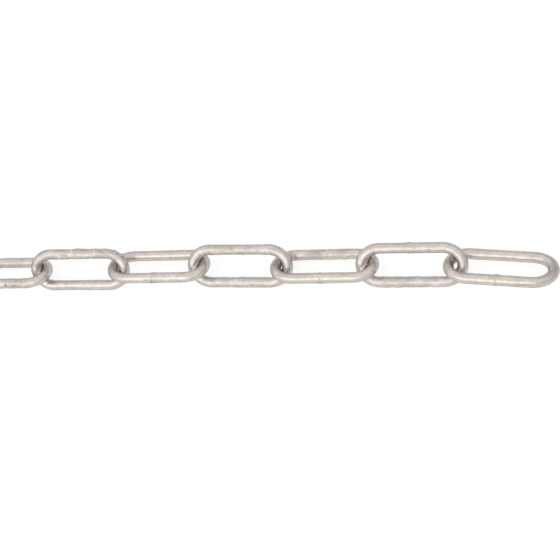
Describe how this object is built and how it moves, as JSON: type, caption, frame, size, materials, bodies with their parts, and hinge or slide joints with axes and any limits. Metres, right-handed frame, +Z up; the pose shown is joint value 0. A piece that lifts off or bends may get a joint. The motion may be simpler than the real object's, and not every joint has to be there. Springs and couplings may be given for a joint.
{
  "type": "length of galvanised long-link steel chain",
  "caption": "Welded long-link steel chain: a straight run with a free end, and the rest in a flat coil. Hooks, shackles or padlocks take it at any link.",
  "frame": {"origin": "on the floor under the middle of the whole, run and coil together", "axes": "+X along the straight run towards the free end, +Y from the run towards the coil's middle, +Z up from the floor"},
  "size_m": [0.3962, 0.159, 0.0129],
  "materials": {
    "galvanised_steel": "dull hot-dip zinc with faint mottling, lumps and drips"
  },
  "bodies": {
    "stored_length": {"link_08": "galvanised_steel", "link_09": "galvanised_steel", "link_10": "galvanised_steel", "link_11": "galvanised_steel", "link_12": "galvanised_steel", "link_13": "galvanised_steel", "link_14": "galvanised_steel", "link_15": "galvanised_steel", "link_16": "galvanised_steel", "link_17": "galvanised_steel", "link_18": "galvanised_steel", "link_19": "galvanised_steel", "link_20": "galvanised_steel", "link_21": "galvanised_steel", "link_22": "galvanised_steel", "link_23": "galvanised_steel", "link_24": "galvanised_steel", "link_25": "galvanised_steel", "link_26": "galvanised_steel", "link_27": "galvanised_steel", "link_28": "galvanised_steel", "link_29": "galvanised_steel", "link_30": "galvanised_steel", "link_31": "galvanised_steel"},
    "free_07": {"link_07": "galvanised_steel"},
    "free_06": {"link_06": "galvanised_steel"},
    "free_05": {"link_05": "galvanised_steel"},
    "free_04": {"link_04": "galvanised_steel"},
    "free_03": {"link_03": "galvanised_steel"},
    "free_02": {"link_02": "galvanised_steel"},
    "free_01": {"link_01": "galvanised_steel"}
  },
  "joints": [
    {"name": "link_07_swing", "type": "hinge", "parent": "stored_length", "child": "free_07", "pos_m": [-0.02704, -0.07126, 0.0051], "axis": [0.0074, -0.5299, 0.848], "range_deg": [0, 75]},
    {"name": "link_06_swing", "type": "hinge", "parent": "free_07", "child": "free_06", "pos_m": [0.00426, -0.07082, 0.0053], "axis": [0.0078, -0.5591, -0.829], "range_deg": [0, 75]},
    {"name": "link_05_swing", "type": "hinge", "parent": "free_06", "child": "free_05", "pos_m": [0.03556, -0.06954, 0.00534], "axis": [0.0049, -0.5664, 0.8241], "range_deg": [0, 75]},
    {"name": "link_04_swing", "type": "hinge", "parent": "free_05", "child": "free_04", "pos_m": [0.06665, -0.06826, 0.00506], "axis": [0.01, -0.5224, -0.8526], "range_deg": [0, 75]},
    {"name": "link_03_swing", "type": "hinge", "parent": "free_04", "child": "free_03", "pos_m": [0.09801, -0.0684, 0.0051], "axis": [0, -0.5299, 0.848], "range_deg": [0, 75]},
    {"name": "link_02_swing", "type": "hinge", "parent": "free_03", "child": "free_02", "pos_m": [0.12916, -0.0683, 0.00497], "axis": [0.008, -0.5075, -0.8616], "range_deg": [0, 75]},
    {"name": "link_01_swing", "type": "hinge", "parent": "free_02", "child": "free_01", "pos_m": [0.16036, -0.06809, 0.00506], "axis": [0.0046, -0.5225, 0.8526], "range_deg": [0, 75]}
  ]
}
